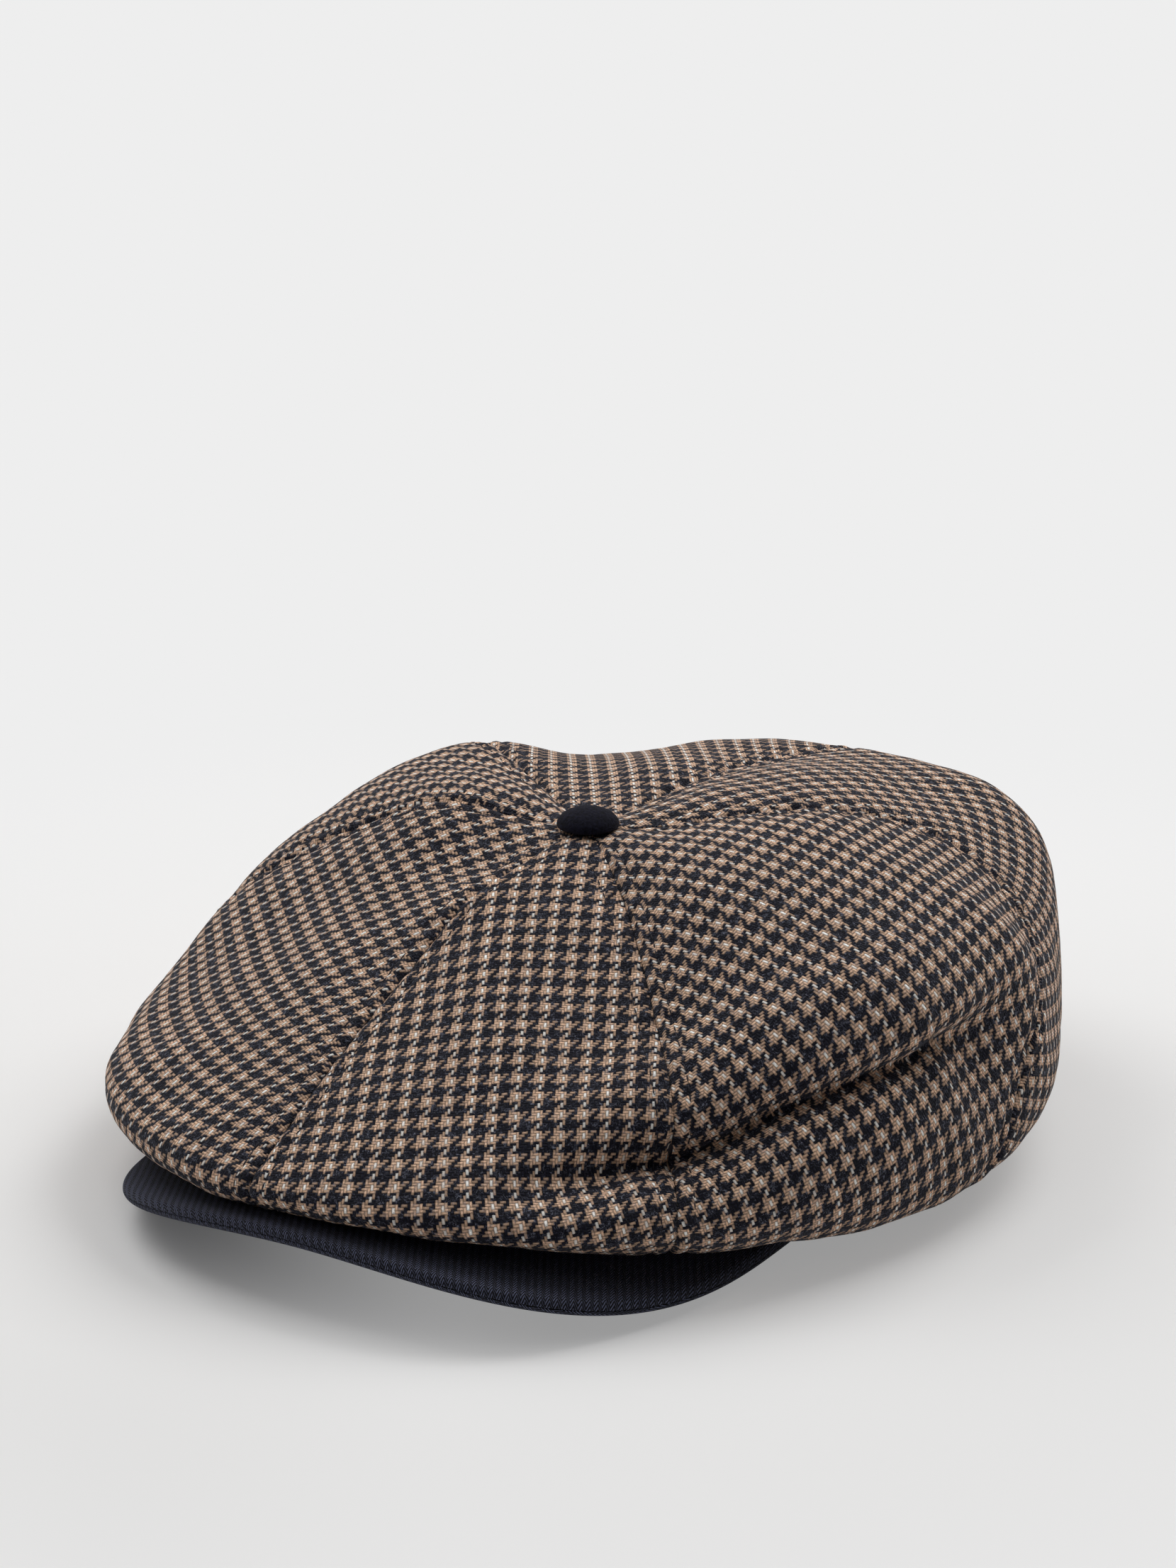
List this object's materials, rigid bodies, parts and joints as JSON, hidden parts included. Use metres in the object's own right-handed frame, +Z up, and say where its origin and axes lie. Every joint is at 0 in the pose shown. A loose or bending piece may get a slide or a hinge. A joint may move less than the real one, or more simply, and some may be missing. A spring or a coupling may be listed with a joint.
{
  "type": "newsboy cap",
  "caption": "Soft newsboy cap: houndstooth gored crown with covered button and lining, over a stiff herringbone brim that a press fastener holds to the crown.",
  "frame": {"origin": "middle of the cap's length and width, on the surface it stands on", "axes": "-Y to the front of the brim, +X to the wearer's left, +Z up through the button"},
  "size_m": [0.2629, 0.3039, 0.0991],
  "materials": {
    "houndstooth_wool": "black-navy and tan houndstooth wool twill, slightly fuzzy",
    "satin_lining": "smooth dark satin",
    "band_cotton": "dark cotton twill band",
    "stay_tape": "stiff woven tape",
    "navy_herringbone": "dark navy fine herringbone wool",
    "navy_felt": "dark navy felted wool",
    "brim_board": "smooth stiff board",
    "steel": "pressed sheet steel",
    "blacked_metal": "black pressed metal"
  },
  "bodies": {
    "crown": {"crown_panel_front_left": "houndstooth_wool", "crown_panel_left": "houndstooth_wool", "crown_panel_back_left": "houndstooth_wool", "crown_panel_back_right": "houndstooth_wool", "crown_panel_right": "houndstooth_wool", "crown_panel_front_right": "houndstooth_wool", "lining_panel_front_left": "satin_lining", "lining_panel_left": "satin_lining", "lining_panel_back_left": "satin_lining", "lining_panel_back_right": "satin_lining", "lining_panel_right": "satin_lining", "lining_panel_front_right": "satin_lining", "sweatband": "band_cotton", "headband_stay": "stay_tape", "button_cover": "navy_felt", "button_shell": "steel", "button_back": "steel", "button_washer": "steel", "snap_socket": "blacked_metal"},
    "brim": {"brim_top_cover": "navy_herringbone", "brim_board": "brim_board", "brim_under_cover": "navy_herringbone", "snap_stud": "blacked_metal"}
  },
  "joints": [
    {"name": "brim_hinge", "type": "hinge", "parent": "crown", "child": "brim", "pos_m": [-0.00204, -0.04025, 0.00318], "axis": [1, 0, 0], "range_deg": [0, 8], "stiffness_Nm_per_rad": 0.6, "springref_deg": -5.73}
  ]
}
